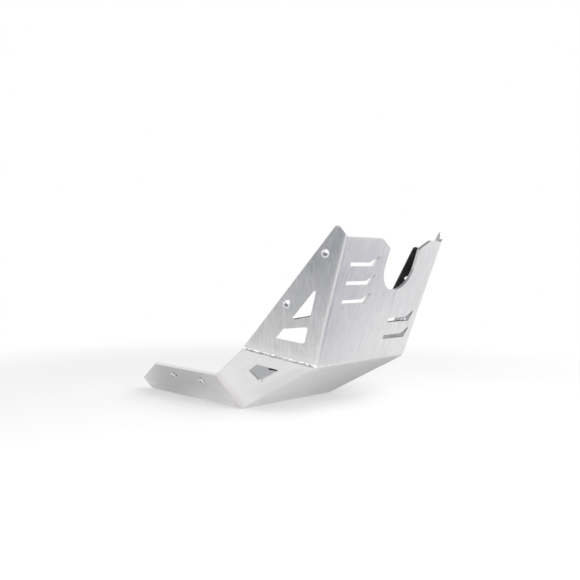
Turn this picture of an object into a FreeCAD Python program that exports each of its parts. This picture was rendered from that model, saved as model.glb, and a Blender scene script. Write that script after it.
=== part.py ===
import FreeCAD, Part
import math
import os

Vector = FreeCAD.Vector

# Skid plate for the underside of a motorbike engine, in millimetres and degrees.
# +Z is up, -Y is the front of the machine, and the origin is the middle of the belly's underside.
# The plate's lengths and widths run between the axes of its folds.

# Plate sheet
sheet = 4.0
bend_inner = 5.0

# Belly and ramp
belly_length = 206.1
belly_front_width = 180.2
belly_rear_width = 165.7
ramp_run = 127.0
ramp_rise = 67.4
ramp_top_width = 179.6

# Front face
front_height = 165.2
front_lean = 18.2
front_top_width = 201.9

# Round-bottomed notch in the front face, open at the top
notch_offset = 22.5
notch_radius = 33.5
notch_depth = 68.8
notch_mouth_width = 20.0
notch_mouth_depth = 11.5
notch_corner_radius = 4.0

# Air slots in the front face, each with a tail that sweeps up to a point
slot_length = 48.5
slot_height = 6.0
slot_tail_reach = 6.5
slot_tail_rise = 14.8
slot_tail_root = 37.0
slot_pitch = 24.3
right_slot_count = 3
right_slot_margin = 15.6
right_slot_drop = 36.8
left_slot_count = 2
left_slot_start = 30.5
left_slot_floor = 26.1

# Side wings, welded to the corner panels along a climbing seam
wing_flare = 42.9
seam_climb = 13.9
seam_length = 88.3
wing_peak_back = 9.1
wing_peak_rise = 14.5
wing_peak_radius = 5.0
wing_shoulder_rise = 6.2
shoulder_steps = 6
shoulder_margin = 0.2
seam_bead_radius = 2.4
seam_bead_height = 0.8

# Cut-outs of the wing, back from its front fold and up from the ramp's top
cutout_radius = 3.0
cutout_tip_radius = 1.6
wing_cutout_front = 16.4
upper_cutout_floor = 61.1
upper_cutout_top = 99.2
upper_cutout_back = 38.8
upper_cutout_drop = 9.5
lower_cutout_floor = 23.2
lower_cutout_top = 47.3
lower_cutout_back = 52.6
lower_cutout_rear_height = 15.2
lower_cutout_rear_lean = 7.0

# Cut-out of the corner panel, out from the ramp fold and back from the ramp's top corner
corner_cutout_start = 19.6
corner_cutout_width = 27.4
corner_cutout_front = 38.0
corner_cutout_length = 41.1
corner_cutout_front_slant = 15.4
corner_cutout_rear_slant = 7.4
corner_cutout_lean = 2.0

# Rear flanges, their pointed rear end measured back from the belly's rear edge
flange_angle = 45.0
flange_height = 69.1
flange_top_setback = 80.4
flange_tip_height = 23.8
flange_tip_setback = 4.8
flange_corner_radius = 1.5

# Brackets behind the wings and the flanges
bracket_sheet = 3.0
bracket_bend_inner = 2.0
bracket_corner_radius = 4.0
bolt_hole = 8.5
wing_bracket_end_margin = 13.0
wing_bracket_front_margin = 9.0
wing_bracket_edge_inset = 1.6
wing_lug_depth = 26.0
wing_bolt_depth = 14.0
flange_bracket_end_margin = 14.0
flange_bracket_top_margin = 10.0
flange_bracket_drop = 22.0
flange_shelf_width = 34.0
flange_bolt_inset = 16.0
flange_bolt_spacing = 60.0

# Button-head screws, washers and locking nuts of the wings
wing_screw_edge = 9.6
wing_screw_drop = 34.8
wing_screw_spacing = 71.2
wing_screw = 6.0
wing_screw_head = 10.5
wing_screw_head_height = 3.3
wing_screw_socket = 4.0
wing_washer = 12.0
wing_washer_sheet = 1.6
wing_nut_width = 10.0
wing_nut_height = 6.0

# The same of the flanges
flange_screw_rise = 49.9
flange_screw_front = 36.5
flange_screw_spacing = 62.4
flange_screw = 5.0
flange_screw_head = 9.5
flange_screw_head_height = 2.75
flange_screw_socket = 3.0
flange_washer = 10.0
flange_washer_sheet = 1.0
flange_nut_width = 8.0
flange_nut_height = 5.0

# Fits and details of the fasteners
hole_clearance = 0.3
washer_clearance = 0.2
thread_clearance = 0.05
screw_tail = 1.5
screw_chamfer = 0.8
socket_depth_share = 0.62
head_rim_share = 0.18
nut_collar_share = 0.28
nut_collar_width_share = 0.82
nut_bevel_share = 0.8

bend_outer = bend_inner + sheet
bracket_bend_outer = bracket_bend_inner + bracket_sheet
cut_reach = 4.0 * bend_outer


def unit(vector):
    return vector * (1.0 / vector.Length)


def flipped(point):
    return Vector(-point.x, point.y, point.z)


def mirrored(shape):
    return shape.mirror(Vector(0, 0, 0), Vector(1, 0, 0))


def outline(points, radii):
    # Closed wire through the points, with a tangent arc at each corner that has a radius.
    ends = []
    edges = []
    for index, corner in enumerate(points):
        before = unit(points[index - 1] - corner)
        after = unit(points[(index + 1) % len(points)] - corner)
        radius = radii[index]
        if radius == 0:
            ends.append((corner, corner))
            continue
        half = before.getAngle(after) / 2.0
        setback = radius / math.tan(half)
        middle = unit(before + after) * (radius / math.sin(half) - radius)
        enter = corner + before * setback
        leave = corner + after * setback
        ends.append((enter, leave))
        edges.append(Part.Arc(enter, corner + middle, leave).toShape())
    for index in range(len(points)):
        leave = ends[index - 1][1]
        enter = ends[index][0]
        edges.append(Part.LineSegment(leave, enter).toShape())
    return Part.Wire(Part.__sortEdges__(edges))


class Panel:
    # A flat wall: v runs along its fold, u away from the fold and n out of the hollow.
    def __init__(self, corner, along, towards, normal):
        self.corner = corner
        self.v = unit(along)
        self.n = unit(normal)
        sideways = self.n.cross(self.v)
        self.u = sideways if sideways.dot(towards) > 0 else sideways * -1.0

    def at(self, u, v, n=0.0):
        return self.corner + self.u * u + self.v * v + self.n * n

    def slab(self, points, low, high, radii):
        base = [self.at(u, v, low) for u, v in points]
        return Part.Face(outline(base, radii)).extrude(self.n * (high - low))

    def wall(self, points, radii):
        return self.slab(points, bend_inner, bend_outer, radii)

    def cutter(self, points, radii):
        return self.slab(points, -cut_reach, cut_reach, radii)

    def drill(self, u, v, diameter):
        start = self.at(u, v, -cut_reach)
        return Part.makeCylinder(diameter / 2.0, 2.0 * cut_reach, start, self.n)


def outward(first, second, point, inside):
    # Normal of the plane of two directions, turned away from a point of the hollow.
    normal = unit(first.cross(second))
    return normal if normal.dot(point - inside) > 0 else normal * -1.0


def bend(start, end, first, second, inner, outer):
    # Part of a tube round a fold's axis, between the normals of the two walls that it joins.
    between = unit(first + second)
    edges = [
        Part.LineSegment(start + first * inner, start + first * outer).toShape(),
        Part.Arc(start + first * outer, start + between * outer, start + second * outer).toShape(),
        Part.LineSegment(start + second * outer, start + second * inner).toShape(),
        Part.Arc(start + second * inner, start + between * inner, start + first * inner).toShape(),
    ]
    return Part.Face(Part.Wire(edges)).extrude(end - start)


def fold(start, end, first, second):
    return bend(start, end, first, second, bend_inner, bend_outer)


def corner_cap(point, normals):
    # Part of a hollow ball that closes the corner where several folds meet.
    middle = Vector(0, 0, 0)
    for normal in normals:
        middle = middle + normal
    middle = unit(middle)
    reach = 2.0 * bend_outer
    tips = [point + normal * (reach / normal.dot(middle)) for normal in normals]
    faces = [Part.Face(Part.makePolygon(tips + [tips[0]]))]
    for index, tip in enumerate(tips):
        faces.append(Part.Face(Part.makePolygon([point, tips[index - 1], tip, point])))
    cone = Part.Solid(Part.Shell(faces))
    ball = Part.makeSphere(bend_outer, point).cut(Part.makeSphere(bend_inner, point))
    return ball.common(cone)


def polygon_wall(points, normal):
    base = [point + normal * bend_inner for point in points]
    base.append(base[0])
    return Part.Face(Part.makePolygon(base)).extrude(normal * sheet)


# Fold axes of the right side, the left side being their mirror image
across = Vector(1, 0, 0)
lean = math.radians(front_lean)
flare = math.radians(wing_flare)
climb = math.radians(seam_climb)
turn = math.radians(flange_angle)
hollow = Vector(0, 0, bend_outer + ramp_rise)

belly_corner = Vector(-belly_front_width / 2.0, -belly_length / 2.0, bend_outer)
belly_end = Vector(-belly_rear_width / 2.0, belly_length / 2.0, bend_outer)
ramp_corner = Vector(-ramp_top_width / 2.0, belly_corner.y - ramp_run, bend_outer + ramp_rise)
ramp_middle = Vector(0, ramp_corner.y, ramp_corner.z)
front_up = Vector(0, -math.sin(lean), math.cos(lean))
top_corner = ramp_middle + front_up * front_height - across * (front_top_width / 2.0)
seam_plan = Vector(-math.sin(flare), math.cos(flare), 0)
seam = seam_plan * math.cos(climb) + Vector(0, 0, math.sin(climb))
seam_end = ramp_corner + seam * seam_length
side_edge = unit(belly_end - belly_corner)
side_out = Vector(-side_edge.y, side_edge.x, 0)
flange_up = side_out * math.cos(turn) + Vector(0, 0, math.sin(turn))

belly_normal = Vector(0, 0, -1)
ramp_normal = outward(ramp_corner - belly_corner, across, ramp_corner, hollow)
front_normal = outward(front_up, across, top_corner, hollow)
wing_normal = outward(top_corner - ramp_corner, seam, seam_end, hollow)
corner_normal = outward(ramp_corner - belly_corner, seam, seam_end, hollow)
flange_normal = side_out * math.sin(turn) - Vector(0, 0, math.cos(turn))
ground_seam = unit(flange_normal.cross(corner_normal))
flange_front = belly_corner + ground_seam * (flange_height / ground_seam.dot(flange_up))

front = Panel(ramp_middle, front_up, across, front_normal)
wing = Panel(ramp_corner, top_corner - ramp_corner, seam, wing_normal)
corner_panel = Panel(belly_corner, ramp_corner - belly_corner, seam, corner_normal)
flange = Panel(belly_corner, side_edge, flange_up, flange_normal)

# The wing's slanted rear edge, from the heel at the seam up to the peak
wing_fold = (top_corner - ramp_corner).Length
wing_peak = wing.at(wing_peak_back, wing_fold + wing_peak_rise)
rear_edge = unit(wing_peak - seam_end)
rear_way = rear_edge.cross(wing_normal)
rear_way = rear_way if rear_way.dot(seam) > 0 else rear_way * -1.0


def on_wing(point):
    # u and v of a point that lies in the wing.
    return ((point - wing.corner).dot(wing.u), (point - wing.corner).dot(wing.v))


def wing_screw_places():
    # Lower and upper screw, on a line beside the rear edge.
    upper = wing_peak - rear_edge * (wing_screw_drop / rear_edge.dot(wing.v))
    lower = upper - rear_edge * (wing_screw_spacing / rear_edge.dot(wing.v))
    return [on_wing(point - rear_way * wing_screw_edge) for point in (lower, upper)]


def flange_screw_places():
    rear = flange_screw_front + flange_screw_spacing
    return [(flange_screw_rise, flange_screw_front), (flange_screw_rise, rear)]


def front_half_width(height):
    return (ramp_top_width + (front_top_width - ramp_top_width) * height / front_height) / 2.0


def notch_cutter():
    # Round floor, straight walls and a flared mouth that runs out past the top edge.
    middle = front_height - notch_depth + notch_radius
    throat = front_height - notch_mouth_depth
    spill = notch_radius + notch_mouth_width * (1.0 + cut_reach / notch_mouth_depth)
    left = notch_offset - notch_radius
    right = notch_offset + notch_radius
    points = [
        (left, middle),
        (right, middle),
        (right, throat),
        (notch_offset + spill, front_height + cut_reach),
        (notch_offset - spill, front_height + cut_reach),
        (left, throat),
    ]
    mouth = front.cutter(points, [0, 0, notch_corner_radius, 0, 0, notch_corner_radius])
    return mouth.fuse(front.drill(notch_offset, middle, 2.0 * notch_radius))


def slot_cutter(start, floor):
    points = [
        (start, floor),
        (start + slot_length, floor),
        (start + slot_length + slot_tail_reach, floor + slot_tail_rise),
        (start + slot_tail_root, floor + slot_height),
        (start, floor + slot_height),
    ]
    return front.cutter(points, [0] * len(points))


def slot_cutters():
    cutters = []
    for index in range(right_slot_count):
        floor = front_height - right_slot_drop - index * slot_pitch
        cutters.append(slot_cutter(right_slot_margin - front_half_width(floor), floor))
    for index in range(left_slot_count):
        cutters.append(slot_cutter(left_slot_start, left_slot_floor + index * slot_pitch))
    return cutters


def front_wall():
    low = front_half_width(0)
    high = front_half_width(front_height)
    points = [(-low, 0), (low, 0), (high, front_height), (-high, front_height)]
    return front.wall(points, [0] * len(points)).cut([notch_cutter()] + slot_cutters())


def wing_wall():
    points = [(0, 0), (0, wing_fold + wing_shoulder_rise), on_wing(wing_peak), on_wing(seam_end)]
    upper = [
        (wing_cutout_front, upper_cutout_floor),
        (wing_cutout_front, upper_cutout_top),
        (upper_cutout_back, upper_cutout_floor - upper_cutout_drop),
    ]
    rear_top = lower_cutout_floor + lower_cutout_rear_height
    lower = [
        (wing_cutout_front, lower_cutout_floor),
        (wing_cutout_front, lower_cutout_top),
        (lower_cutout_back - lower_cutout_rear_lean, rear_top),
        (lower_cutout_back, lower_cutout_floor),
    ]
    cutters = [
        wing.cutter(upper, [cutout_radius, cutout_tip_radius, cutout_tip_radius]),
        wing.cutter(lower, [cutout_radius, cutout_radius, cutout_radius, cutout_tip_radius]),
    ]
    for u, v in wing_screw_places():
        cutters.append(wing.drill(u, v, wing_screw + 2.0 * hole_clearance))
    return wing.wall(points, [0, 0, wing_peak_radius, 0]).cut(cutters)


def corner_wall():
    front_end = (ramp_corner - belly_corner).Length - corner_cutout_front
    rear_end = front_end - corner_cutout_length
    far = corner_cutout_start + corner_cutout_width
    points = [
        (corner_cutout_start, rear_end),
        (corner_cutout_start, front_end),
        (far, front_end - corner_cutout_front_slant),
        (far - corner_cutout_lean, rear_end + corner_cutout_rear_slant),
    ]
    cutter = corner_panel.cutter(points, [cutout_radius, cutout_tip_radius, cutout_radius, cutout_tip_radius])
    return polygon_wall([belly_corner, ramp_corner, seam_end, flange_front], corner_normal).cut(cutter)


def flange_wall():
    length = (belly_end - belly_corner).Length
    points = [
        (0, 0),
        (flange_height, (flange_front - belly_corner).dot(side_edge)),
        (flange_height, length - flange_top_setback),
        (flange_tip_height, length - flange_tip_setback),
        (0, length),
    ]
    hole = flange_screw + 2.0 * hole_clearance
    drills = [flange.drill(u, v, hole) for u, v in flange_screw_places()]
    return flange.wall(points, [0, 0, flange_corner_radius, flange_corner_radius, 0]).cut(drills)


def seam_bead():
    # Raised weld along the seam between wing and corner panel, round at its front end.
    between = unit(wing_normal + corner_normal)
    start = ramp_corner + between * (bend_outer + seam_bead_height - seam_bead_radius)
    ridge = Part.makeCylinder(seam_bead_radius, seam_length, start, seam)
    ridge = ridge.fuse(Part.makeSphere(seam_bead_radius, start))
    core = bend_inner + sheet / 2.0
    sunk = Part.makeCylinder(core, seam_length, ramp_corner, seam)
    return ridge.cut(sunk.fuse(Part.makeSphere(core, ramp_corner)))


def shouldered_fold():
    # Fold between front face and wing. Its upper end climbs to the wing, as a straight cut does when it is bent.
    axis = unit(top_corner - ramp_corner)
    tube = fold(ramp_corner, top_corner + axis * wing_shoulder_rise, front_normal, wing_normal)
    turn_axis = unit(front_normal.cross(wing_normal))
    swing = math.degrees(front_normal.getAngle(wing_normal))
    top = wing_shoulder_rise + shoulder_margin
    wires = []
    for step in range(-1, shoulder_steps + 2):
        share = step / shoulder_steps
        outwards = FreeCAD.Rotation(turn_axis, swing * share).multVec(front_normal)
        height = wing_shoulder_rise * min(max(share, 0.0), 1.0)
        near = top_corner + outwards * (bend_inner - shoulder_margin)
        far = top_corner + outwards * (bend_outer + shoulder_margin)
        points = [near + axis * height, far + axis * height, far + axis * top, near + axis * top]
        wires.append(Part.makePolygon(points + [points[0]]))
    return tube.cut(Part.makeLoft(wires, True, True))


def side_of_plate():
    # Wing, corner panel and flange of the right side, with the folds that join them.
    return [
        wing_wall(),
        corner_wall(),
        flange_wall(),
        shouldered_fold(),
        fold(ramp_corner, seam_end, wing_normal, corner_normal),
        fold(belly_corner, ramp_corner, ramp_normal, corner_normal),
        fold(belly_corner, flange_front, corner_normal, flange_normal),
        fold(belly_corner, belly_end, belly_normal, flange_normal),
        corner_cap(ramp_corner, [ramp_normal, front_normal, wing_normal, corner_normal]),
        corner_cap(belly_corner, [belly_normal, ramp_normal, corner_normal, flange_normal]),
        seam_bead(),
    ]


def skid_plate():
    walls = [
        front_wall(),
        polygon_wall([belly_corner, flipped(belly_corner), flipped(belly_end), belly_end], belly_normal),
        polygon_wall([belly_corner, flipped(belly_corner), flipped(ramp_corner), ramp_corner], ramp_normal),
        fold(belly_corner, flipped(belly_corner), belly_normal, ramp_normal),
        fold(ramp_corner, flipped(ramp_corner), ramp_normal, front_normal),
    ]
    for solid in side_of_plate():
        walls.append(solid)
        walls.append(mirrored(solid))
    return walls[0].multiFuse(walls[1:]).removeSplitter()


def bracket_leg(panel, width, half_length):
    points = [(0, -half_length), (width, -half_length), (width, half_length), (0, half_length)]
    radii = [0, bracket_corner_radius, bracket_corner_radius, 0]
    return panel.slab(points, bracket_bend_inner, bracket_bend_outer, radii)


def joined_legs(first, first_leg, second, second_leg, half_length):
    start = first.at(0, -half_length)
    end = first.at(0, half_length)
    turn_piece = bend(start, end, first.n, second.n, bracket_bend_inner, bracket_bend_outer)
    return first_leg.multiFuse([turn_piece, second_leg]).removeSplitter()


def wing_bracket():
    # Angle strip behind the wing's rear edge: a leg under the screws, and a lug turned inwards.
    low, high = [wing.at(u, v, bend_inner - bracket_bend_outer) for u, v in wing_screw_places()]
    reach = (high - low).Length / 2.0
    half_length = reach + wing_bracket_end_margin
    width = wing_bracket_front_margin + wing_screw_edge - wing_bracket_edge_inset
    axis = (low + high) * 0.5 - rear_way * wing_bracket_front_margin
    leg = Panel(axis, rear_edge, rear_way, wing_normal)
    lug = Panel(axis, rear_edge, wing_normal * -1.0, rear_way * -1.0)
    hole = wing_screw + 2.0 * hole_clearance
    drills = [leg.drill(wing_bracket_front_margin, side * reach, hole) for side in (-1, 1)]
    leg_solid = bracket_leg(leg, width, half_length).cut(drills)
    lug_solid = bracket_leg(lug, wing_lug_depth, half_length)
    lug_solid = lug_solid.cut(lug.drill(wing_bolt_depth, 0, bolt_hole))
    return joined_legs(leg, leg_solid, lug, lug_solid, half_length)


def flange_bracket():
    # Angle strip behind the flange: a leg under the screws, and a level shelf turned inwards.
    screws = [flange.at(u, v, bend_inner - bracket_bend_outer) for u, v in flange_screw_places()]
    reach = flange_screw_spacing / 2.0
    half_length = reach + flange_bracket_end_margin
    axis = (screws[0] + screws[1]) * 0.5 - flange_up * flange_bracket_drop
    leg = Panel(axis, side_edge, flange_up, flange_normal)
    shelf = Panel(axis, side_edge, side_out * -1.0, belly_normal)
    hole = flange_screw + 2.0 * hole_clearance
    drills = [leg.drill(flange_bracket_drop, side * reach, hole) for side in (-1, 1)]
    leg_solid = bracket_leg(leg, flange_bracket_drop + flange_bracket_top_margin, half_length).cut(drills)
    middle = shelf.at(flange_shelf_width - flange_bolt_inset, 0, bracket_bend_outer)
    bolts = []
    for side in (-1, 1):
        foot = middle + Vector(0, side * flange_bolt_spacing / 2.0, 0)
        bolts.append(Part.makeCylinder(bolt_hole / 2.0, bracket_sheet, foot))
    shelf_solid = bracket_leg(shelf, flange_shelf_width, half_length).cut(bolts)
    return joined_legs(leg, leg_solid, shelf, shelf_solid, half_length)


def six_sided(width, floor, height):
    reach = width / math.sqrt(3.0)
    points = []
    for index in range(7):
        angle = math.radians(60.0 * index)
        points.append(Vector(reach * math.cos(angle), reach * math.sin(angle), floor))
    return Part.Face(Part.makePolygon(points)).extrude(Vector(0, 0, height))


def button_screw(size, length, head, head_height, socket):
    # Domed head above z = 0 with a six-sided socket, and a plain shank below.
    rim = head_height * head_rim_share
    crown = socket / math.sqrt(3.0) + screw_chamfer
    rise = head_height ** 2 - rim ** 2 - head ** 2 / 4.0 + crown ** 2
    centre = rise / (2.0 * (head_height - rim))
    dome = math.hypot(crown, head_height - centre)
    half_way = (math.atan2(rim - centre, head / 2.0) + math.atan2(head_height - centre, crown)) / 2.0
    on_dome = Vector(dome * math.cos(half_way), 0, centre + dome * math.sin(half_way))
    profile = [
        Vector(crown, 0, head_height),
        Vector(head / 2.0, 0, rim),
        Vector(head / 2.0, 0, 0),
        Vector(size / 2.0, 0, 0),
        Vector(size / 2.0, 0, screw_chamfer - length),
        Vector(size / 2.0 - screw_chamfer, 0, -length),
        Vector(0, 0, -length),
        Vector(0, 0, head_height),
    ]
    edges = [Part.Arc(profile[0], on_dome, profile[1]).toShape()]
    for index in range(1, len(profile)):
        following = profile[(index + 1) % len(profile)]
        edges.append(Part.LineSegment(profile[index], following).toShape())
    body = Part.Face(Part.Wire(edges)).revolve(Vector(0, 0, 0), Vector(0, 0, 1), 360)
    depth = head_height * socket_depth_share
    return body.cut(six_sided(socket, head_height - depth, depth))


def washer(size, width, thickness):
    ring = Part.makeCylinder(width / 2.0, thickness)
    return ring.cut(Part.makeCylinder(size / 2.0 + washer_clearance, thickness))


def locking_nut(size, width, height):
    # Six-sided body with bevelled corners, and a round collar on its far end.
    body_height = height * (1.0 - nut_collar_share)
    reach = width / math.sqrt(3.0)
    top = width / 2.0 * nut_bevel_share
    bevel = Part.makeCone(reach, top, body_height, Vector(0, 0, body_height / 2.0))
    trim = Part.makeCylinder(reach, body_height / 2.0).fuse(bevel)
    body = six_sided(width, 0, body_height).common(trim)
    collar = Part.makeCylinder(width * nut_collar_width_share / 2.0, height)
    return body.fuse(collar).cut(Part.makeCylinder(size / 2.0 + thread_clearance, height))


def seated(shape, point, axis):
    placed = shape.copy()
    placed.Placement = FreeCAD.Placement(point, FreeCAD.Rotation(Vector(0, 0, 1), axis))
    return placed


def fastened(panel, place, screw, ring, ring_sheet, nut):
    # Screw head on the plate's outer face, then washer and nut on the bracket behind it.
    u, v = place
    back = bend_inner - bracket_sheet
    inward = panel.n * -1.0
    return {
        "screw": seated(screw, panel.at(u, v, bend_outer), panel.n),
        "washer": seated(ring, panel.at(u, v, back), inward),
        "nut": seated(nut, panel.at(u, v, back - ring_sheet), inward),
    }


def wing_fasteners():
    length = sheet + bracket_sheet + wing_washer_sheet + wing_nut_height + screw_tail
    screw = button_screw(wing_screw, length, wing_screw_head, wing_screw_head_height, wing_screw_socket)
    ring = washer(wing_screw, wing_washer, wing_washer_sheet)
    nut = locking_nut(wing_screw, wing_nut_width, wing_nut_height)
    lower, upper = wing_screw_places()
    return {
        "lower": fastened(wing, lower, screw, ring, wing_washer_sheet, nut),
        "upper": fastened(wing, upper, screw, ring, wing_washer_sheet, nut),
    }


def flange_fasteners():
    length = sheet + bracket_sheet + flange_washer_sheet + flange_nut_height + screw_tail
    head = (flange_screw_head, flange_screw_head_height, flange_screw_socket)
    screw = button_screw(flange_screw, length, *head)
    ring = washer(flange_screw, flange_washer, flange_washer_sheet)
    nut = locking_nut(flange_screw, flange_nut_width, flange_nut_height)
    front_place, rear_place = flange_screw_places()
    return {
        "front": fastened(flange, front_place, screw, ring, flange_washer_sheet, nut),
        "rear": fastened(flange, rear_place, screw, ring, flange_washer_sheet, nut),
    }


def both_sides(node, shape):
    return {node + "_right": shape, node + "_left": mirrored(shape)}


def all_nodes():
    nodes = {"skid_plate": skid_plate()}
    nodes.update(both_sides("wing_bracket", wing_bracket()))
    nodes.update(both_sides("flange_bracket", flange_bracket()))
    for wall, group in (("wing", wing_fasteners()), ("flange", flange_fasteners())):
        for place, pieces in group.items():
            for piece, shape in pieces.items():
                nodes.update(both_sides(wall + "_" + piece + "_" + place, shape))
    return nodes


os.makedirs("parts", exist_ok=True)
for name, shape in all_nodes().items():
    shape.exportStep("parts/" + name + ".step")
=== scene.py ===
import bpy
import bmesh
import math
from mathutils import Matrix, Vector


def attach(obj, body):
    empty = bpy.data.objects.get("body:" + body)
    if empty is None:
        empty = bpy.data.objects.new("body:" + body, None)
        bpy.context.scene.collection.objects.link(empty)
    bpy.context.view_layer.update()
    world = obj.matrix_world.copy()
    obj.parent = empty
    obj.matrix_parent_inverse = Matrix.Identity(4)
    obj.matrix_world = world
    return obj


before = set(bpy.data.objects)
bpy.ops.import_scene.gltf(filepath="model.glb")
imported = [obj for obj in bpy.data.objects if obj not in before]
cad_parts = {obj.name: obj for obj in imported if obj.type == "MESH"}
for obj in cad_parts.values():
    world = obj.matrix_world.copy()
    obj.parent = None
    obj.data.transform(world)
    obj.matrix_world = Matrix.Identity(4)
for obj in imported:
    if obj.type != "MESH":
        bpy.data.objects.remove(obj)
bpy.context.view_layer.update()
scene = bpy.context.scene
scene.view_settings.view_transform = "Standard"
print("plate loaded, nodes:", len(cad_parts))

# ends of the plate's fold axes on the machine's right, in metres; the left side mirrors them
plateCorners = {
    "bellyCorner": Vector((-0.0901, -0.10305, 0.009)),
    "rampCorner": Vector((-0.0898, -0.23005, 0.0764)),
    "seamEnd": Vector((-0.148147, -0.167261, 0.097612)),
    "flangeFront": Vector((-0.139181, -0.108436, 0.057861)),
    "bendOuter": 0.009,  # outer radius of the folds
}
panelNormals = {
    "front": (0.0, -0.94997, -0.31233),
    "wing": (-0.74981, -0.61091, -0.25413),
    "ramp": (0.0, -0.46878, -0.88331),
    "corner": (-0.63727, -0.36244, -0.68009),
    "belly": (0.0, 0.0, -1.0),
    "flange": (-0.70667, 0.02486, -0.70711),
}
grainWays = {
    "front": (0.0, -0.31233, 0.94997),  # front face, brushed up and down
    "wing": (-0.2037, -0.166, 0.9649),  # wings, brushed upright before they were welded in
    "ramp": (0.0, -0.88331, 0.46878),  # ramp and corner panels, brushed along the slope
    "belly": (0.0, 1.0, 0.0),  # belly and flanges, brushed along the machine
}

# where each screw head seats on the right side, and which way it faces
screwSeats = {
    "wing_lower": ((-0.132922, -0.222408, 0.149844), panelNormals["wing"]),
    "wing_upper": ((-0.11661, -0.267933, 0.211155), panelNormals["wing"]),
    "flange_front": ((-0.13044, -0.065108, 0.037921), panelNormals["flange"]),
    "flange_rear": ((-0.128246, -0.002747, 0.037921), panelNormals["flange"]),
}


class Wiring:  # short ways to wire up the nodes of one material, or of the world
    def __init__(self, owner):
        owner.use_nodes = True
        self.owner = owner
        self.tree = owner.node_tree
        self.tree.nodes.clear()

    def add(self, kind, **settings):
        node = self.tree.nodes.new(kind)
        for key, value in settings.items():
            setattr(node, key, value)
        return node

    def feed(self, socket, value):
        if isinstance(value, bpy.types.NodeSocket):
            self.tree.links.new(value, socket)
        else:
            socket.default_value = value

    def math(self, operation, first, second=0.0, third=0.0, clamp=False):
        node = self.add("ShaderNodeMath", operation=operation, use_clamp=clamp)
        for socket, value in zip(node.inputs, (first, second, third)):
            self.feed(socket, value)
        return node.outputs[0]

    def times(self, first, second):
        return self.math("MULTIPLY", first, second)

    def less(self, first, second):
        return self.math("SUBTRACT", first, second)

    def more(self, base, mask, amount, clamp=False):
        # adds an amount where the mask is
        return self.math("MULTIPLY_ADD", mask, amount, base, clamp)

    def vary(self, base, pattern, depth, clamp=False):
        # moves a value up and down with a noise that lies around a half
        return self.more(base, self.less(pattern, 0.5), depth, clamp)

    def most(self, values):
        highest = values[0]
        for value in values[1:]:
            highest = self.math("MAXIMUM", highest, value)
        return highest

    def vector(self, operation, first, second=(0.0, 0.0, 0.0), scale=1.0):
        node = self.add("ShaderNodeVectorMath", operation=operation)
        self.feed(node.inputs[0], first)
        self.feed(node.inputs[1], second)
        if operation == "SCALE":
            self.feed(node.inputs["Scale"], scale)
        oneNumber = operation in ("DOT_PRODUCT", "LENGTH")
        return node.outputs["Value" if oneNumber else "Vector"]

    def split(self, vector):
        node = self.add("ShaderNodeSeparateXYZ")
        self.feed(node.inputs[0], vector)
        return node.outputs

    def join(self, x, y, z):
        node = self.add("ShaderNodeCombineXYZ")
        for socket, value in zip(node.inputs, (x, y, z)):
            self.feed(socket, value)
        return node.outputs[0]

    def pick(self, factor, first, second, kind="VECTOR"):
        node = self.add("ShaderNodeMix", data_type=kind)
        places = {"FLOAT": (2, 3, 0), "VECTOR": (4, 5, 1), "RGBA": (6, 7, 2)}[kind]
        self.feed(node.inputs[0], factor)
        self.feed(node.inputs[places[0]], first)
        self.feed(node.inputs[places[1]], second)
        return node.outputs[places[2]]

    def tint(self, factor, first, second):
        return self.pick(factor, first, second, "RGBA")

    def ease(self, value, low, high, lowTo=0.0, highTo=1.0):
        node = self.add("ShaderNodeMapRange", interpolation_type="SMOOTHSTEP")
        for socket, number in zip(node.inputs, (value, low, high, lowTo, highTo)):
            self.feed(socket, number)
        return node.outputs[0]

    def noise(self, vector, steps=None, scale=1.0, detail=2.0, roughness=0.5):
        if steps is not None:
            vector = self.vector("MULTIPLY", vector, steps)
        node = self.add("ShaderNodeTexNoise")
        self.feed(node.inputs["Vector"], vector)
        node.inputs["Scale"].default_value = scale
        node.inputs["Detail"].default_value = detail
        node.inputs["Roughness"].default_value = roughness
        return node.outputs["Fac"]

    def bump(self, height, strength, distance, normal=None):
        node = self.add("ShaderNodeBump")
        node.inputs["Strength"].default_value = strength
        node.inputs["Distance"].default_value = distance
        self.feed(node.inputs["Height"], height)
        if normal is not None:
            self.feed(node.inputs["Normal"], normal)
        return node.outputs["Normal"]

    def here(self):
        return self.add("ShaderNodeTexCoord").outputs["Object"]

    def onRight(self, here):
        # the same spot on the machine's right
        x, y, z = self.split(here)
        return self.join(self.times(self.math("ABSOLUTE", x), -1.0), y, z)

    def fromSeam(self, point, start, end):
        # distance of a point from a straight seam
        length = (end - start).length
        way = (end - start) / length
        reach = self.vector("SUBTRACT", point, start)
        along = self.vector("DOT_PRODUCT", reach, way)
        along = self.math("MINIMUM", self.math("MAXIMUM", along, 0.0), length)
        nearest = self.vector("SCALE", way, scale=along)
        return self.vector("LENGTH", self.vector("SUBTRACT", reach, nearest))

    def surface(self, colour, rough, normal, metallic):
        shader = self.add("ShaderNodeBsdfPrincipled")
        self.feed(shader.inputs["Base Color"], colour)
        self.feed(shader.inputs["Roughness"], rough)
        self.feed(shader.inputs["Normal"], normal)
        self.feed(shader.inputs["Metallic"], metallic)
        return shader

    def blend(self, factor, first, second):
        node = self.add("ShaderNodeMixShader")
        for socket, value in zip(node.inputs, (factor, first.outputs[0], second.outputs[0])):
            self.feed(socket, value)
        return node

    def finish(self, shader, output="ShaderNodeOutputMaterial"):
        self.feed(self.add(output).inputs["Surface"], shader.outputs[0])
        return self.owner


def newSkin(name):
    return Wiring(bpy.data.materials.new(name))


def dress(node, material):
    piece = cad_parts[node]
    piece.data.materials.clear()
    piece.data.materials.append(material)
    return piece


edgeRounding = {
    "closeWithin": 0.000002,
    "segments": 2,
    "fromAngle": 38.0,
    "faceWeight": 100,
}


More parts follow.
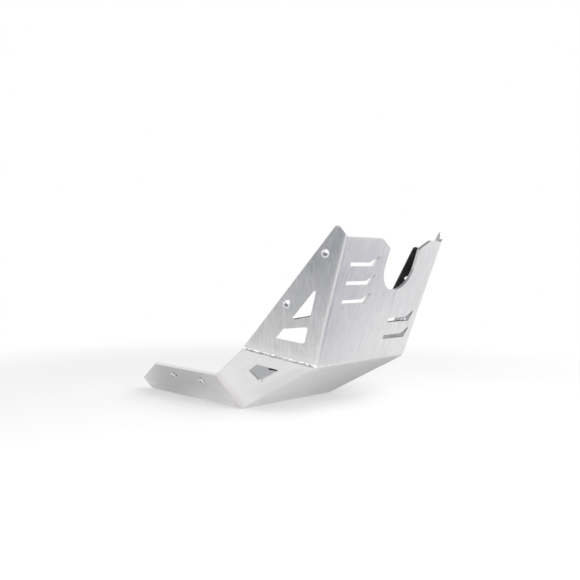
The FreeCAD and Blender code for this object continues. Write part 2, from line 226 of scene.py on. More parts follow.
def easeEdges(piece, width, look=edgeRounding):
    # closes the seams of the loaded mesh, then rounds its cut edges a little
    weld = piece.modifiers.new("closeSeams", "WELD")
    weld.merge_threshold = look["closeWithin"]
    soft = piece.modifiers.new("easedEdges", "BEVEL")
    soft.width = width
    soft.segments = look["segments"]
    soft.limit_method = "ANGLE"
    soft.angle_limit = math.radians(look["fromAngle"])
    even = piece.modifiers.new("evenShade", "WEIGHTED_NORMAL")
    even.weight = look["faceWeight"]
    even.keep_sharp = True


# Brushed aluminium of the folded plate

brushedSheet = {
    "edgeWidth": 0.00025,
    "dark": (0.53, 0.53, 0.545, 1.0),
    "light": (0.90, 0.90, 0.895, 1.0),
    "shade": 0.6,  # where the sheet lies between dark and light
    "frontPaintedLight": 0.28,  # painted light: how much lighter the front face is made than the rest of the same sheet
    "lavender": (0.68, 0.67, 0.73, 1.0),
    "lavenderBand": (0.52, 0.75),
    "sea": (0.67, 0.71, 0.70, 1.0),
    "seaBand": (0.48, 0.25),
    "tint": 0.4,
    "roughness": 0.38,
    "anisotropy": 0.5,
    "quarterTurn": 0.25,  # the gloss spreads across the grain
    # noise patterns, with their steps per metre across and along the grain
    "hairline": {"steps": (3600.0, 90.0, 1.0), "detail": 2.0},
    "streak": {"steps": (620.0, 45.0, 1.0), "detail": 4.0, "roughness": 0.6},
    "stroke": {"steps": (1500.0, 70.0, 1.0), "detail": 2.0, "roughness": 0.6},  # of the hand pad
    "band": {"steps": (90.0, 12.0, 1.0), "detail": 2.0},
    "scratch": {"steps": (700.0, 22.0, 1.0), "detail": 1.0},
    "scratchLean": 0.07,
    "scratchFrom": (0.70, 0.76),
    "cloud": {"scale": 16.0, "detail": 3.0},
    "burr": {"scale": 1400.0, "detail": 2.0},
    # how far each pattern moves the colour, the gloss and the surface
    "depth": {"hairline": 0.6, "streak": 0.8, "band": 0.25, "cloud": 0.2, "scratch": 0.12},
    "upperStreak": 0.3,  # deeper streaks on front face and wings
    "strokeDepth": {"wing": 1.0, "front": 0.8, "corner": 0.8},
    "gloss": {"hairline": 0.22, "cloud": 0.14, "haze": 0.10, "inside": 0.06, "scratch": -0.06},
    "relief": {"hairline": (0.25, 0.00004), "streak": (0.10, 0.00010), "burr": (0.3, 0.00006)},
    "patternShift": {"side": 5.3, "upper": 2.1, "inside": 7.7},  # panels don't share a pattern
    # painted highlight where the front face turns into a wing, lighter in place of the bend's
    # bright reflection
    "fold": (0.93, 0.925, 0.91, 1.0),
    "foldHighlightFacing": (0.74, 0.86),
    "foldHighlightMix": 0.45,
    # painted light: corner panels made lighter, most of all beside the ground weld, in place of
    # the bright floor they mirror
    "cornerPaintedLight": (0.88, 0.88, 0.875, 1.0),
    "cornerPaintedLightFacing": (0.93, 0.985),
    "cornerPaintedLightReach": (0.055, 0.012),
    "cornerPaintedLightMix": (0.45, 0.85),
    # painted shade: darker strip along the fold below each corner panel
    "foldPaintedShade": (0.58, 0.58, 0.58, 1.0),
    "foldPaintedShadeFacing": (0.88, 0.97),
    "foldPaintedShadeWidth": 0.021,
    "foldPaintedShadeReach": (0.020, 0.065),
    "foldPaintedShadeMix": 0.30,
    # heat beside the welded seam
    "heat": (0.90, 0.89, 0.88, 1.0),
    "heatInside": (0.42, 0.38, 0.33, 1.0),
    "heatWidth": 0.0145,
    "heatMix": 0.4,
    "heatMixInside": 0.3,
    # weld ground flush between corner panel and flange
    "ground": (0.93, 0.89, 0.89, 1.0),
    "groundMix": 0.30,
    "groundMark": (0.62, 0.575, 0.585, 1.0),
    "groundMarkTurn": (0.13, 0.04),
    "groundMarkMix": 0.55,
    # inside, left as it came from the mill, with painted shade making it darker than the outside
    "millDarkShaded": (0.33, 0.335, 0.345, 1.0),
    "millLightShaded": (0.50, 0.505, 0.515, 1.0),
    "millStreak": 0.5,
    "millCloud": 0.9,
    # cut edges
    "cutEdge": (0.78, 0.78, 0.775, 1.0),
    "cutFacing": (0.86, 0.70),
    "burrBand": (0.35, 0.65),
    "burrMix": 0.35,
    # how the panels are told apart
    "bellyBelow": 0.02,  # the belly lies lower than this
    "frontAhead": -0.2,  # the front face lies ahead of this
    "insideMargin": 0.0001,
}


def acrossPanel(panel, way):
    return Vector(panelNormals[panel]).cross(Vector(grainWays[way])).normalized()


def readPanels(wires, here, look):
    # which panel of the plate a spot lies on, from the way its surface faces
    x, y, z = wires.split(here)
    nx, ny, nz = wires.split(wires.add("ShaderNodeNewGeometry").outputs["Normal"])
    side = wires.math("SIGN", x)
    toRight = wires.times(side, -1.0)
    rightward = wires.join(wires.times(nx, toRight), ny, nz)
    facing = {}
    for panel, way in panelNormals.items():
        facing[panel] = wires.vector("DOT_PRODUCT", rightward, way)
    isLow = wires.math("LESS_THAN", z, look["bellyBelow"])
    isAhead = wires.math("LESS_THAN", y, look["frontAhead"])
    facing["belly"] = wires.times(facing["belly"], isLow)
    facing["front"] = wires.times(facing["front"], isAhead)
    square = {panel: wires.math("ABSOLUTE", value) for panel, value in facing.items()}

    upper = wires.most([square["front"], square["wing"]])
    slope = wires.most([square["ramp"], square["corner"]])
    level = wires.most([square["belly"], square["flange"]])
    sides = wires.most([square["wing"], square["corner"], square["flange"]])
    middle = wires.most([square["front"], square["ramp"], square["belly"]])
    squarest = wires.most([sides, middle])
    outer = wires.most(list(facing.values()))
    panels = {"side": side, "toRight": toRight, "square": square}
    panels["isUpper"] = wires.math("GREATER_THAN", upper, wires.most([slope, level]))
    panels["isSlope"] = wires.math("GREATER_THAN", slope, level)
    panels["isSide"] = wires.math("GREATER_THAN", sides, middle)
    innerLimit = wires.less(squarest, look["insideMargin"])
    panels["isInside"] = wires.math("LESS_THAN", outer, innerLimit)
    panels["isCut"] = wires.ease(squarest, *look["cutFacing"])
    bothUpper = wires.math("MINIMUM", square["front"], square["wing"])
    onFold = wires.ease(bothUpper, *look["foldHighlightFacing"])
    panels["isFold"] = wires.times(onFold, wires.less(1.0, panels["isInside"]))
    panels["onWing"] = wires.times(panels["isUpper"], panels["isSide"])
    panels["onFront"] = wires.less(panels["isUpper"], panels["onWing"])
    sideSlope = wires.times(panels["isSlope"], panels["isSide"])
    panels["onCorner"] = wires.times(wires.less(1.0, panels["isUpper"]), sideSlope)
    return panels


def layGrain(wires, here, rightHere, panels, look):
    # the grain's direction, and a place measured across and along it
    isUpper, isSlope, isSide = panels["isUpper"], panels["isSlope"], panels["isSide"]
    upperGrain = wires.pick(isSide, grainWays["front"], grainWays["wing"])
    lowerGrain = wires.pick(isSlope, grainWays["belly"], grainWays["ramp"])
    grain = wires.pick(isUpper, lowerGrain, upperGrain)
    across = wires.pick(isSlope, acrossPanel("flange", "belly"), acrossPanel("corner", "ramp"))
    across = wires.pick(isUpper, across, acrossPanel("wing", "wing"))
    across = wires.pick(isSide, (1.0, 0.0, 0.0), across)
    spot = wires.pick(isSide, here, rightHere)
    shift = look["patternShift"]
    seed = wires.times(wires.times(panels["side"], isSide), shift["side"])
    seed = wires.more(seed, isUpper, shift["upper"])
    seed = wires.more(seed, panels["isInside"], shift["inside"])
    u = wires.vector("DOT_PRODUCT", spot, across)
    v = wires.vector("DOT_PRODUCT", spot, grain)
    return grain, wires.join(u, v, seed)


def brushPatterns(wires, here, brushed, look):
    seen = {}
    for kind in ("hairline", "streak", "stroke", "band"):
        seen[kind] = wires.noise(brushed, **look[kind])
    for kind in ("cloud", "burr"):
        seen[kind] = wires.noise(here, **look[kind])
    u, v, w = wires.split(brushed)
    lean = look["scratchLean"]
    leaning = wires.join(wires.more(u, v, lean), wires.more(v, u, -lean), w)
    scratch = wires.noise(leaning, **look["scratch"])
    seen["scratch"] = wires.ease(scratch, *look["scratchFrom"])
    return seen


def brushedAluminium(look):
    wires = newSkin("brushedAluminium")
    here = wires.here()
    rightHere = wires.onRight(here)
    panels = readPanels(wires, here, look)
    square = panels["square"]
    grain, brushed = layGrain(wires, here, rightHere, panels, look)
    seen = brushPatterns(wires, here, brushed, look)

    depth = look["depth"]
    strokeDepth = wires.times(panels["onWing"], look["strokeDepth"]["wing"])
    strokeDepth = wires.more(strokeDepth, panels["onFront"], look["strokeDepth"]["front"])
    strokeDepth = wires.more(strokeDepth, panels["onCorner"], look["strokeDepth"]["corner"])
    streakDepth = wires.more(depth["streak"], panels["isUpper"], look["upperStreak"])
    # painted light: the front face is made lighter than the other panels of the sheet
    shade = wires.more(look["shade"], panels["onFront"], look["frontPaintedLight"])
    shade = wires.vary(shade, seen["streak"], streakDepth)
    shade = wires.vary(shade, seen["stroke"], strokeDepth)
    for kind in ("band", "cloud", "hairline"):
        shade = wires.vary(shade, seen[kind], depth[kind])
    shade = wires.more(shade, seen["scratch"], depth["scratch"], clamp=True)
    colour = wires.tint(shade, look["dark"], look["light"])
    for hue in ("lavender", "sea"):
        share = wires.ease(seen["band"], *look[hue + "Band"], 0.0, look["tint"])
        colour = wires.tint(share, colour, look[hue])

    # painted light and shade: lighter corner panels, a painted highlight along the wing fold, and
    # a darker strip along the fold below each corner panel
    bend = plateCorners["bendOuter"]
    ground = wires.fromSeam(rightHere, plateCorners["bellyCorner"], plateCorners["flangeFront"])
    brake = wires.fromSeam(rightHere, plateCorners["bellyCorner"], plateCorners["rampCorner"])
    # painted light: corner panels lighter, most of all near the ground weld
    cornerLightShare = wires.ease(ground, *look["cornerPaintedLightReach"], *look["cornerPaintedLightMix"])
    cornerLightShare = wires.times(wires.ease(square["corner"], *look["cornerPaintedLightFacing"]), cornerLightShare)
    colour = wires.tint(cornerLightShare, colour, look["cornerPaintedLight"])
    # painted highlight along the fold between front face and wing
    colour = wires.tint(wires.times(panels["isFold"], look["foldHighlightMix"]), colour, look["fold"])
    # painted shade: darker strip along the fold below each corner panel
    foldShading = wires.ease(brake, look["foldPaintedShadeWidth"], bend)
    foldShading = wires.times(foldShading, wires.ease(square["corner"], *look["foldPaintedShadeFacing"]))
    foldShading = wires.times(foldShading, wires.ease(ground, *look["foldPaintedShadeReach"], 0.0, look["foldPaintedShadeMix"]))
    colour = wires.tint(foldShading, colour, look["foldPaintedShade"])

    # heat beside the welded seam, and the weld that is ground flush below it
    heat = wires.fromSeam(rightHere, plateCorners["rampCorner"], plateCorners["seamEnd"])
    haze = wires.ease(heat, bend, look["heatWidth"], 1.0, 0.0)
    colour = wires.tint(wires.times(haze, look["heatMix"]), colour, look["heat"])
    polish = wires.ease(ground, bend, look["heatWidth"], 1.0, 0.0)
    turn = wires.math("ABSOLUTE", wires.less(square["corner"], square["flange"]))
    groove = wires.times(polish, wires.ease(turn, *look["groundMarkTurn"]))
    colour = wires.tint(wires.times(polish, look["groundMix"]), colour, look["ground"])
    colour = wires.tint(wires.times(groove, look["groundMarkMix"]), colour, look["groundMark"])

    # painted shade: the inside faces take darker mill tones
    mill = wires.vary(0.5, seen["streak"], look["millStreak"])
    mill = wires.vary(mill, seen["cloud"], look["millCloud"], clamp=True)
    shadedInside = wires.tint(mill, look["millDarkShaded"], look["millLightShaded"])
    shadedInside = wires.tint(wires.times(haze, look["heatMixInside"]), shadedInside, look["heatInside"])
    colour = wires.tint(panels["isInside"], colour, shadedInside)
    burrs = wires.ease(seen["burr"], *look["burrBand"], 0.0, look["burrMix"])
    edge = wires.tint(burrs, look["cutEdge"], look["millLightShaded"])
    colour = wires.tint(panels["isCut"], colour, edge)

    gloss = look["gloss"]
    rough = wires.vary(look["roughness"], seen["hairline"], gloss["hairline"])
    rough = wires.vary(rough, seen["cloud"], gloss["cloud"])
    rough = wires.more(rough, haze, gloss["haze"])
    rough = wires.more(rough, panels["isInside"], gloss["inside"])
    rough = wires.more(rough, seen["scratch"], gloss["scratch"])
    relief = wires.bump(seen["hairline"], *look["relief"]["hairline"])
    relief = wires.bump(seen["streak"], *look["relief"]["streak"], relief)
    cutBurr = wires.times(seen["burr"], panels["isCut"])
    relief = wires.bump(cutBurr, *look["relief"]["burr"], relief)

    shader = wires.surface(colour, rough, relief, 1.0)
    gx, gy, gz = wires.split(grain)
    tangent = wires.join(wires.times(gx, panels["toRight"]), gy, gz)
    wires.feed(shader.inputs["Tangent"], tangent)
    shader.inputs["Anisotropic"].default_value = look["anisotropy"]
    shader.inputs["Anisotropic Rotation"].default_value = look["quarterTurn"]
    return wires.finish(shader)


plate = dress("skid_plate", brushedAluminium(brushedSheet))
easeEdges(plate, brushedSheet["edgeWidth"])
print("plate dressed in brushed aluminium")


# Black powder coat of the brackets

powderCoat = {
    "edgeWidth": 0.0003,
    "colour": (0.012, 0.012, 0.013, 1.0),
    "dust": (0.05, 0.05, 0.05, 1.0),
    "dustBand": (0.45, 0.8),
    "dustMix": 0.5,
    "roughness": 0.42,
    "roughVaries": 0.25,
    "cloud": {"scale": 40.0, "detail": 4.0},
    "pebble": {"scale": 1500.0, "detail": 2.0},
    "pebbleRelief": (0.35, 0.00008),
}


def blackPowderCoat(look):
    wires = newSkin("blackPowderCoat")
    here = wires.here()
    pebble = wires.noise(here, **look["pebble"])
    cloud = wires.noise(here, **look["cloud"])
    dusty = wires.ease(cloud, *look["dustBand"], 0.0, look["dustMix"])
    colour = wires.tint(dusty, look["colour"], look["dust"])
    rough = wires.vary(look["roughness"], cloud, look["roughVaries"])
    relief = wires.bump(pebble, *look["pebbleRelief"])
    return wires.finish(wires.surface(colour, rough, relief, 0.0))


bracketSkin = blackPowderCoat(powderCoat)
for wall in ("wing", "flange"):
    for hand in ("right", "left"):
        bracket = dress(wall + "_bracket_" + hand, bracketSkin)
        easeEdges(bracket, powderCoat["edgeWidth"])
print("brackets coated")


# Plated steel of the screws, washers and nuts

platedSteel = {
    "edgeWidth": 0.0001,
    "colour": (0.76, 0.77, 0.80, 1.0),
    "metallic": 0.62,  # zinc with a pale bloom
    "roughness": 0.25,
    "roughVaries": {"cloud": 0.22, "turned": 0.14},
    "cloud": {"scale": 420.0, "detail": 4.0},
    "turned": {"steps": (7000.0, 900.0, 1.0), "detail": 2.0},  # outwards and along the screw
    "turnedRelief": (0.18, 0.00004),
    "stain": (0.24, 0.24, 0.255, 1.0),
    "stainBand": (0.53, 0.70),
    "stainMix": 0.8,
    "grimeAndShade": (0.08, 0.08, 0.085, 1.0),  # grime and painted shade where the head seats on the sheet
    "grimeAndShadeHeight": (0.0010, 0.0003),
    "grimeAndShadeBand": (0.35, 0.55),
    "grimeAndShadeMix": 0.85,
    # painted shade inside the hex socket
    "socketPaintedShade": (0.36, 0.365, 0.38, 1.0),
    "socketEdge": (1.04, 0.93),
    "socketDepth": 0.8,
    "socketRough": 0.25,
    "threadFrom": -0.0005,
    "threadRelief": (0.8, 0.0003),
    "collarNylon": (0.62, 0.63, 0.60, 1.0),
    "collarEdge": (1.24, 1.18),
    "collarSkin": 0.00025,
    "collarRough": 0.3,
}
fastenerSizes = {
    "wing": {
        "headHeight": 0.0033, "socket": 0.0023, "shank": 0.003, "pitch": 0.001,
        "collarEnd": -0.0146,
    },
    "flange": {
        "headHeight": 0.00275, "socket": 0.00173, "shank": 0.0025, "pitch": 0.0008,
        "collarEnd": -0.013,
    },
}


def sized(length, shares):
    return [length * share for share in shares]


def brightPlating(kind, seatName, look):
    seat, axis = screwSeats[seatName]
    size = fastenerSizes[seatName.split("_")[0]]
    wires = newSkin(kind + "Plating_" + seatName)
    here = wires.here()
    reach = wires.vector("SUBTRACT", wires.onRight(here), seat)
    height = wires.vector("DOT_PRODUCT", reach, axis)
    outward = wires.vector("SUBTRACT", reach, wires.vector("SCALE", axis, scale=height))
    radius = wires.vector("LENGTH", outward)
    cloud = wires.noise(here, **look["cloud"])
    turned = wires.noise(wires.join(radius, height, 0.0), **look["turned"])
    stained = wires.ease(cloud, *look["stainBand"], 0.0, look["stainMix"])
    colour = wires.tint(stained, look["colour"], look["stain"])
    rough = wires.vary(look["roughness"], cloud, look["roughVaries"]["cloud"])
    rough = wires.vary(rough, turned, look["roughVaries"]["turned"])
    relief = wires.bump(turned, *look["turnedRelief"])
    metal = look["metallic"]
    if kind == "screw":
        # grime and painted shade in a patchy ring at the foot of the head
        seatShading = wires.ease(height, *look["grimeAndShadeHeight"])
        seatShading = wires.times(seatShading, wires.ease(cloud, *look["grimeAndShadeBand"]))
        colour = wires.tint(wires.times(seatShading, look["grimeAndShadeMix"]), colour, look["grimeAndShade"])
        top = size["headHeight"]
        # painted shade inside the hex socket
        inSocket = wires.ease(radius, *sized(size["socket"], look["socketEdge"]))
        inSocket = wires.times(inSocket, wires.ease(height, top, top * look["socketDepth"]))
        colour = wires.tint(inSocket, colour, look["socketPaintedShade"])
        rough = wires.more(rough, inSocket, look["socketRough"])
        ridge = wires.math("SINE", wires.times(height, 2.0 * math.pi / size["pitch"]))
        ridge = wires.times(ridge, wires.math("LESS_THAN", height, look["threadFrom"]))
        relief = wires.bump(ridge, *look["threadRelief"], relief)
    if kind == "nut":
        onEnd = wires.math("LESS_THAN", height, size["collarEnd"] + look["collarSkin"])
        ring = wires.ease(radius, *sized(size["shank"], look["collarEdge"]))
        nylon = wires.times(onEnd, ring)
        colour = wires.tint(nylon, colour, look["collarNylon"])
        rough = wires.more(rough, nylon, look["collarRough"])
        metal = wires.more(look["metallic"], nylon, -look["metallic"])
    return wires.finish(wires.surface(colour, rough, relief, metal))


for seatName in screwSeats:
    wall, row = seatName.split("_")
    for kind in ("screw", "washer", "nut"):
        fastenerSkin = brightPlating(kind, seatName, platedSteel)
        for hand in ("right", "left"):
            fastener = dress("_".join((wall, kind, row, hand)), fastenerSkin)
            easeEdges(fastener, platedSteel["edgeWidth"])
print("fasteners plated")


# Weld bead along the seam of each wing

seamWeld = {
    "radius": 0.00243,
    "around": 30,
    "lift": 0.0074,  # how far the bead's middle stands off the fold's axis
    "pitch": 0.0028,
    "stepsPerRipple": 12,
    "ripple": 0.00046,
    "rise": 0.18,  # share of each ripple that climbs
    "fall": 0.7,
    "least": 0.55,  # height of the lowest ripple against the highest
    "scatter": (12.9898, 4.1, 43758.5453),  # step, start and spread that mix up their heights
    "lag": 0.0013,  # how far a ripple trails at the bead's sides
    "drift": (0.22, 640.0),  # ripples stray by this share of the pitch, in waves this close
    "wander": ((0.00016, 310.0, 0.0), (0.00010, 870.0, 1.3)),  # swing, closeness and start
    "lead": 0.0040,  # how far it starts ahead of the fold's corner
    "endGap": 0.0016,
    "endRound": 0.0018,
    "endRadius": 0.3,
    "blob": 0.0008,  # swelling where the bead was started, at the fold's corner
    "blobReach": 0.0036,
    "neck": 0.0072,  # painted shade in the gap between that swelling and the first ripple
    "neckWidth": 0.0012,
    "neckShadeDepth": 0.7,
}


def scatter(index, look):
    # a fixed number between 0 and 1 for each ripple
    step, start, spread = look["scatter"]
    value = math.sin(index * step + start) * spread
    return value - math.floor(value)


def rippleShare(along, tilt, look):
    stray, closeness = look["drift"]
    phase = (along + look["lag"] * tilt * tilt) / look["pitch"]
    phase += stray * math.sin(along * closeness)
    number = math.floor(phase)
    share = phase - number
    rise = min(1.0, share / look["rise"])
    size = look["least"] + (1.0 - look["least"]) * scatter(number, look)
    return rise * (1.0 - share) ** look["fall"] * size


def weldBead(hand, look):
    start = plateCorners["rampCorner"].copy()
    end = plateCorners["seamEnd"].copy()
    up = (Vector(panelNormals["wing"]) + Vector(panelNormals["corner"])).normalized()
    if hand == "left":
        for point in (start, end, up):
            point.x = -point.x
    way = (end - start).normalized()
    sideways = way.cross(up).normalized()
    start = start - way * look["lead"]
    length = (end - start).length - look["endGap"]
    steps = int(length / look["pitch"] * look["stepsPerRipple"])
    mesh = bmesh.new()
    rippleShading = []
    rings = []
    for step in range(steps + 1):
        along = length * step / steps
        fromEnd = min(1.0, min(along, length - along) / look["endRound"])
        fade = math.sqrt(max(0.0, 1.0 - (1.0 - fromEnd) ** 2))
        wander = sum(far * math.sin(along * close + first) for far, close, first in look["wander"])
        ahead = max(0.0, look["lead"] - along)  # dips with the rounded corner of the fold
        lift = 2.0 * look["lift"] - math.hypot(look["lift"], ahead)
        middle = start + way * along + up * lift + sideways * wander
        swell = look["blob"] * math.exp(-(along / look["blobReach"]) ** 2)
        # painted shade: lowers the ripple value in the neck gap, which darkens its colour
        neckShade = look["neckShadeDepth"] * math.exp(-((along - look["neck"]) / look["neckWidth"]) ** 2)
        ring = []
        for index in range(look["around"]):
            angle = 2.0 * math.pi * index / look["around"]
            tilt = math.sin(angle)
            crown = max(0.0, math.cos(angle))
            share = rippleShare(along, tilt, look)
            radius = look["radius"] + (look["ripple"] * share + swell) * crown
            radius *= look["endRadius"] + (1.0 - look["endRadius"]) * fade
            spot = middle + up * (radius * math.cos(angle)) + sideways * (radius * tilt)
            ring.append(mesh.verts.new(spot))
            rippleShading.append(share * (1.0 - neckShade) + swell / look["blob"])
        rings.append(ring)
    for first, second in zip(rings, rings[1:]):
        for index in range(look["around"]):
            following = (index + 1) % look["around"]
            mesh.faces.new((first[index], first[following], second[following], second[index]))
    mesh.faces.new(list(reversed(rings[0])))
    mesh.faces.new(rings[-1])
    bmesh.ops.recalc_face_normals(mesh, faces=mesh.faces)
    for face in mesh.faces:
        face.smooth = True
    data = bpy.data.meshes.new("seamWeld_" + hand)
    mesh.to_mesh(data)
    mesh.free()
    data.attributes.new("ripple", "FLOAT", "POINT").data.foreach_set("value", rippleShading)
    piece = bpy.data.objects.new("seamWeld_" + hand, data)
    scene.collection.objects.link(piece)
    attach(piece, "root")
    return piece


rawWeld = {
    "crest": (0.57, 0.57, 0.567, 1.0),
    # painted shade in the troughs between ripples
    "valleyShade": (0.27, 0.27, 0.27, 1.0),
    "crestFrom": (0.05, 0.4),
    "soot": (0.22, 0.22, 0.22, 1.0),
    "sootPatch": {"scale": 230.0, "detail": 1.0},
    "sootBand": (0.50, 0.60),
    "sootMix": 0.6,
    "start": (0.95, 0.95, 0.94, 1.0),  # painted highlight on the swelling where the bead was struck
    "startHighlightFrom": (0.9, 1.3),
    "roughness": 0.58,
    "roughVaries": 0.3,
    "metallic": 0.6,  # dulled by its oxide
    "speck": {"scale": 1500.0, "detail": 3.0},
    "speckRelief": (0.2, 0.00006),
}


def rawWeldMetal(look):
    wires = newSkin("rawWeldMetal")
    here = wires.here()
    speck = wires.noise(here, **look["speck"])
    patch = wires.noise(here, **look["sootPatch"])
    ripple = wires.add("ShaderNodeAttribute", attribute_name="ripple").outputs["Fac"]
    onCrest = wires.ease(ripple, *look["crestFrom"])
    colour = wires.tint(onCrest, look["valleyShade"], look["crest"])
    sooty = wires.ease(patch, *look["sootBand"], 0.0, look["sootMix"])
    colour = wires.tint(sooty, colour, look["soot"])
    # painted highlight on the swelling at the bead's start
    colour = wires.tint(wires.ease(ripple, *look["startHighlightFrom"]), colour, look["start"])
    rough = wires.vary(look["roughness"], speck, look["roughVaries"])
    relief = wires.bump(speck, *look["speckRelief"])
    return wires.finish(wires.surface(colour, rough, relief, look["metallic"]))


weldSkin = rawWeldMetal(rawWeld)
for hand in ("right", "left"):
    weldBead(hand, seamWeld).data.materials.append(weldSkin)
print("seams welded")


# Floor, light and camera

studio = {
    "floorSize": 60.0,
    "floorColour": (0.96, 0.96, 0.96, 1.0),
    "floorDrop": 0.0006,
    "fadeCentre": (0.0, -0.1, 0.0),
    "fadeStart": 0.40,
    "fadeEnd": 0.85,
    "nearGlow": 0.40,  # how much of the floor is plain white close to the plate
    "metalGlow": 0.82,  # the same where the metal mirrors it
    "ambient": 0.5,
    "white": (1.0, 1.0, 1.0, 1.0),
}


def layFloor(look):
    spot = (0.0, 0.0, -look["floorDrop"])
    bpy.ops.mesh.primitive_plane_add(size=look["floorSize"], location=spot)
    floor = bpy.context.object
    floor.name = "studioFloor"
    wires = newSkin("paleFloor")
    fromCentre = wires.vector("SUBTRACT", wires.here(), look["fadeCentre"])
    away = wires.vector("LENGTH", fromCentre)
    away = wires.ease(away, look["fadeStart"], look["fadeEnd"])
    ray = wires.add("ShaderNodeLightPath").outputs
    mirrored = wires.most([ray["Is Glossy Ray"], ray["Is Transmission Ray"]])
    plain = wires.times(wires.pick(away, look["nearGlow"], 1.0, "FLOAT"), ray["Is Camera Ray"])
    bright = wires.times(wires.pick(away, look["metalGlow"], 1.0, "FLOAT"), mirrored)
    matt = wires.add("ShaderNodeBsdfDiffuse")
    matt.inputs["Color"].default_value = look["floorColour"]
    glow = wires.add("ShaderNodeEmission")
    both = wires.blend(wires.most([plain, bright]), matt, glow)
    floor.data.materials.append(wires.finish(both))


# grey cards that only the metal sees, as a photographer sets them to model a bright sheet
cardGreys = {
    "cool": (0.085, 0.095, 0.135, 1.0),
    "lavender": (0.11, 0.10, 0.19, 1.0),
    "neutral": (0.10, 0.10, 0.10, 1.0),
}
cardHeight = -0.00052  # just over the floor, under the belly
cardStep = 0.00003  # each lies over the one before
cardCore = 0.25  # share of the reach with the full depth
cards = {
    "wingTopCard": {"at": (-0.47, -0.55), "reach": 0.25, "depth": 0.97, "grey": "cool"},
    "wingOuterCard": {"at": (-0.58, -0.68), "reach": 0.30, "depth": 0.95, "grey": "cool"},
    "wingNearCard": {"at": (-0.36, -0.66), "reach": 0.25, "depth": 0.97, "grey": "cool"},
    "wingMiddleCard": {"at": (-0.36, -0.42), "reach": 0.18, "depth": 0.31, "grey": "cool"},
    "wingLowCard": {"at": (-0.30, -0.335), "reach": 0.16, "depth": 0.37, "grey": "neutral"},
    "frontLowCard": {"at": (0.0, -0.40), "reach": 0.145, "depth": 0.58, "grey": "lavender"},
    "frontStripCard": {"at": (0.06, -0.48), "reach": 0.135, "depth": 0.97, "grey": "lavender"},
    "frontTopCard": {"at": (0.19, -0.60), "reach": 0.20, "depth": 0.97, "grey": "lavender"},
    "frontFarCard": {"at": (0.28, -0.69), "reach": 0.24, "depth": 0.97, "grey": "lavender"},
    "rampCard": {
        "at": (0.24, -0.14), "reach": 0.38, "depth": 0.44, "grey": "neutral", "squash": 0.55,
    },
    "bellyCard": {"at": (-0.05, -0.08), "reach": 0.08, "depth": 0.10, "grey": "neutral"},
    "flangeCard": {"at": (-0.13, 0.05), "reach": 0.10, "depth": 0.41, "grey": "neutral"},
    "flangeFrontCard": {"at": (-0.135, -0.035), "reach": 0.065, "depth": 0.25, "grey": "neutral"},
    "overheadCard": {
        "at": (0.0, 0.05), "reach": 0.80, "depth": 0.65, "grey": "cool", "height": 0.95,
    },
}


def layCard(name, look, height):
    reach = look["reach"]
    spot = (*look["at"], look.get("height", height))
    bpy.ops.mesh.primitive_plane_add(size=2.0 * reach, location=spot)
    card = bpy.context.object
    card.name = name
    card.scale.y = look.get("squash", 1.0)
    wires = newSkin(name + "Grey")
    fromMiddle = wires.vector("LENGTH", wires.here())
    cover = wires.ease(fromMiddle, reach * cardCore, reach, look["depth"], 0.0)
    clear = wires.add("ShaderNodeBsdfTransparent")
    matt = wires.add("ShaderNodeBsdfDiffuse")
    matt.inputs["Color"].default_value = cardGreys[look["grey"]]
    card.data.materials.append(wires.finish(wires.blend(cover, clear, matt)))
    for way in ("camera", "diffuse", "transmission", "shadow"):
        setattr(card, "visible_" + way, False)


def lightWorld(look):
    scene.world = bpy.data.worlds.new("studioWorld")
    wires = Wiring(scene.world)
    ray = wires.add("ShaderNodeLightPath").outputs
    rayKinds = ("Is Camera Ray", "Is Glossy Ray", "Is Transmission Ray")
    seen = wires.most([ray[kind] for kind in rayKinds])
    glow = wires.add("ShaderNodeBackground")
    glow.inputs["Color"].default_value = look["white"]
    wires.feed(glow.inputs["Strength"], wires.pick(seen, look["ambient"], 1.0, "FLOAT"))
    wires.finish(glow, "ShaderNodeOutputWorld")


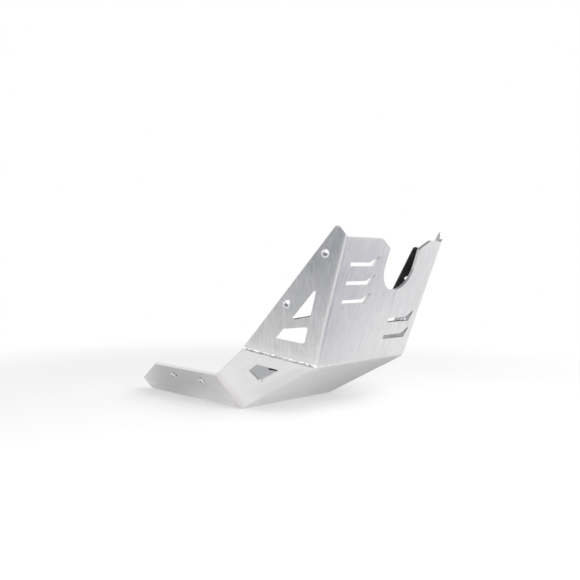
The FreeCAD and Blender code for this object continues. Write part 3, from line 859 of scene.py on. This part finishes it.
lightAim = (0.0, -0.12, 0.1)
softboxes = {
    "keyBox": {"at": (-0.6, -1.5, 1.0), "size": (1.0, 1.0), "power": 24.0},
    "fillBox": {"at": (0.6, -1.2, 1.4), "size": (1.2, 1.2), "power": 8.0},
    "backBox": {"at": (0.2, 1.4, 1.2), "size": (1.2, 0.8), "power": 1.0},
}


def hangSoftbox(name, look):
    lamp = bpy.data.lights.new(name, "AREA")
    lamp.shape = "RECTANGLE"
    lamp.size, lamp.size_y = look["size"]
    lamp.energy = look["power"]
    holder = bpy.data.objects.new(name, lamp)
    holder.location = look["at"]
    aim = Vector(lightAim) - Vector(look["at"])
    holder.rotation_euler = aim.to_track_quat("-Z", "Y").to_euler()
    scene.collection.objects.link(holder)


photoCamera = {
    "lens": 46.47,
    "sensor": 36.0,
    "nearest": 0.01,
    "azimuth": -47.1,
    "elevation": 2.5,
    "roll": 0.9,
    "distance": 1.0793,
    "aim": (0.0, -0.10531, 0.100),
    "slideRight": 0.0004,
    "slideUp": 0.0592,
}


def setCamera(look):
    turn, rise, roll = (math.radians(look[key]) for key in ("azimuth", "elevation", "roll"))
    flat = math.cos(rise)
    back = Vector((math.sin(turn) * flat, -math.cos(turn) * flat, math.sin(rise)))
    levelRight = (-back).cross(Vector((0.0, 0.0, 1.0))).normalized()
    levelUp = levelRight.cross(-back)
    right = levelRight * math.cos(roll) + levelUp * math.sin(roll)
    up = levelUp * math.cos(roll) - levelRight * math.sin(roll)
    lens = bpy.data.cameras.new("photoCamera")
    lens.lens = look["lens"]
    lens.sensor_width = look["sensor"]
    lens.clip_start = look["nearest"]
    camera = bpy.data.objects.new("photoCamera", lens)
    camera.matrix_world = Matrix((right, up, back)).transposed().to_4x4()
    slide = right * look["slideRight"] + up * look["slideUp"]
    camera.location = Vector(look["aim"]) + slide + back * look["distance"]
    scene.collection.objects.link(camera)
    scene.camera = camera


layFloor(studio)
lightWorld(studio)
for order, (name, look) in enumerate(cards.items()):
    layCard(name, look, cardHeight + cardStep * order)
for name, look in softboxes.items():
    hangSoftbox(name, look)
setCamera(photoCamera)
print("studio ready")
